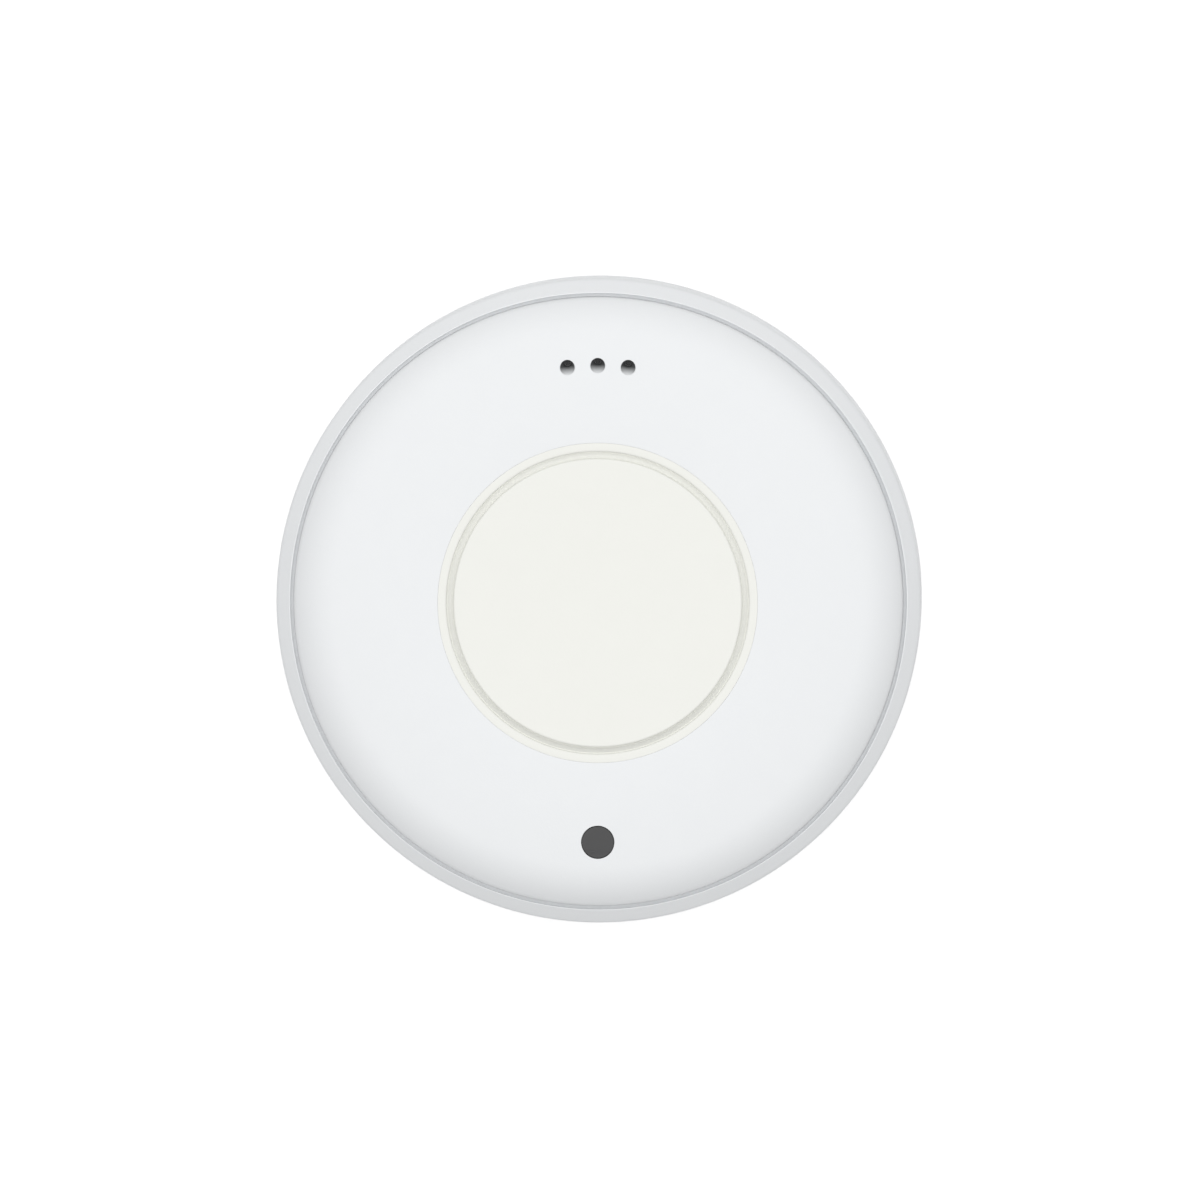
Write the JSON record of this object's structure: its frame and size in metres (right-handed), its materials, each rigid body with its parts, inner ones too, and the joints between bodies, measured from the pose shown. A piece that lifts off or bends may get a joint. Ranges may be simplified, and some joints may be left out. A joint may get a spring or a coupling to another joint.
{
  "type": "bluetooth beacon tag",
  "caption": "Round white puck-shaped radio beacon tag with an ivory push button in a domed cover, small sound holes, a dark sensor window and a turning battery door.",
  "frame": {"origin": "centre of the flat back face that the tag lies on", "axes": "+Z out of the front face, +Y towards the three sound holes, +X to the right seen from the front"},
  "size_m": [0.044, 0.044, 0.0124],
  "materials": {
    "shell_plastic": "cool white, finely textured satin moulding",
    "ivory_plastic": "warm ivory white, satin moulding",
    "smoked_window": "dark smoked, polished",
    "seal_rubber": "matte dark grey",
    "mesh_cloth": "fine black woven mesh",
    "screw_steel": "zinc plated",
    "cell_steel": "nickel plated",
    "spring_metal": "tin plated spring sheet",
    "switch_plastic": "black engineering plastic",
    "board_laminate": "green solder mask",
    "chip_mould": "black moulding compound",
    "crystal_metal": "plated metal lid",
    "chip_ceramic": "pale sintered ceramic"
  },
  "bodies": {
    "housing": {"rear_shell": "shell_plastic", "front_cover": "shell_plastic", "button_bezel": "ivory_plastic", "sensor_window": "smoked_window", "housing_seal": "seal_rubber", "sound_gasket": "seal_rubber", "sound_mesh": "mesh_cloth", "housing_screws": "screw_steel", "cell_can": "cell_steel", "cell_cap": "cell_steel", "switch_plate": "spring_metal", "switch_terminals": "spring_metal", "negative_contact": "spring_metal", "positive_contact": "spring_metal", "switch_base": "switch_plastic", "cell_ring": "switch_plastic", "circuit_board": "board_laminate", "radio_chip": "chip_mould", "motion_sensor": "chip_mould", "light_sensor": "chip_mould", "buzzer": "chip_mould", "power_inductor": "chip_mould", "resistors": "chip_mould", "main_crystal": "crystal_metal", "sleep_crystal": "crystal_metal", "chip_antenna": "chip_ceramic", "capacitors": "chip_ceramic"},
    "button": {"button_cap": "ivory_plastic", "switch_plunger": "switch_plastic", "switch_snap_dome": "spring_metal"},
    "door": {"battery_door": "shell_plastic", "door_seal": "seal_rubber"}
  },
  "joints": [
    {"name": "button_press", "type": "slide", "parent": "housing", "child": "button", "axis": [0, 0, -1], "range_m": [0, 0.0003], "stiffness_N_per_m": 4000, "springref_m": -0.0001},
    {"name": "door_turn", "type": "hinge", "parent": "housing", "child": "door", "pos_m": [0, 0, 0.0002], "axis": [0, 0, -1], "range_deg": [0, 30]}
  ]
}
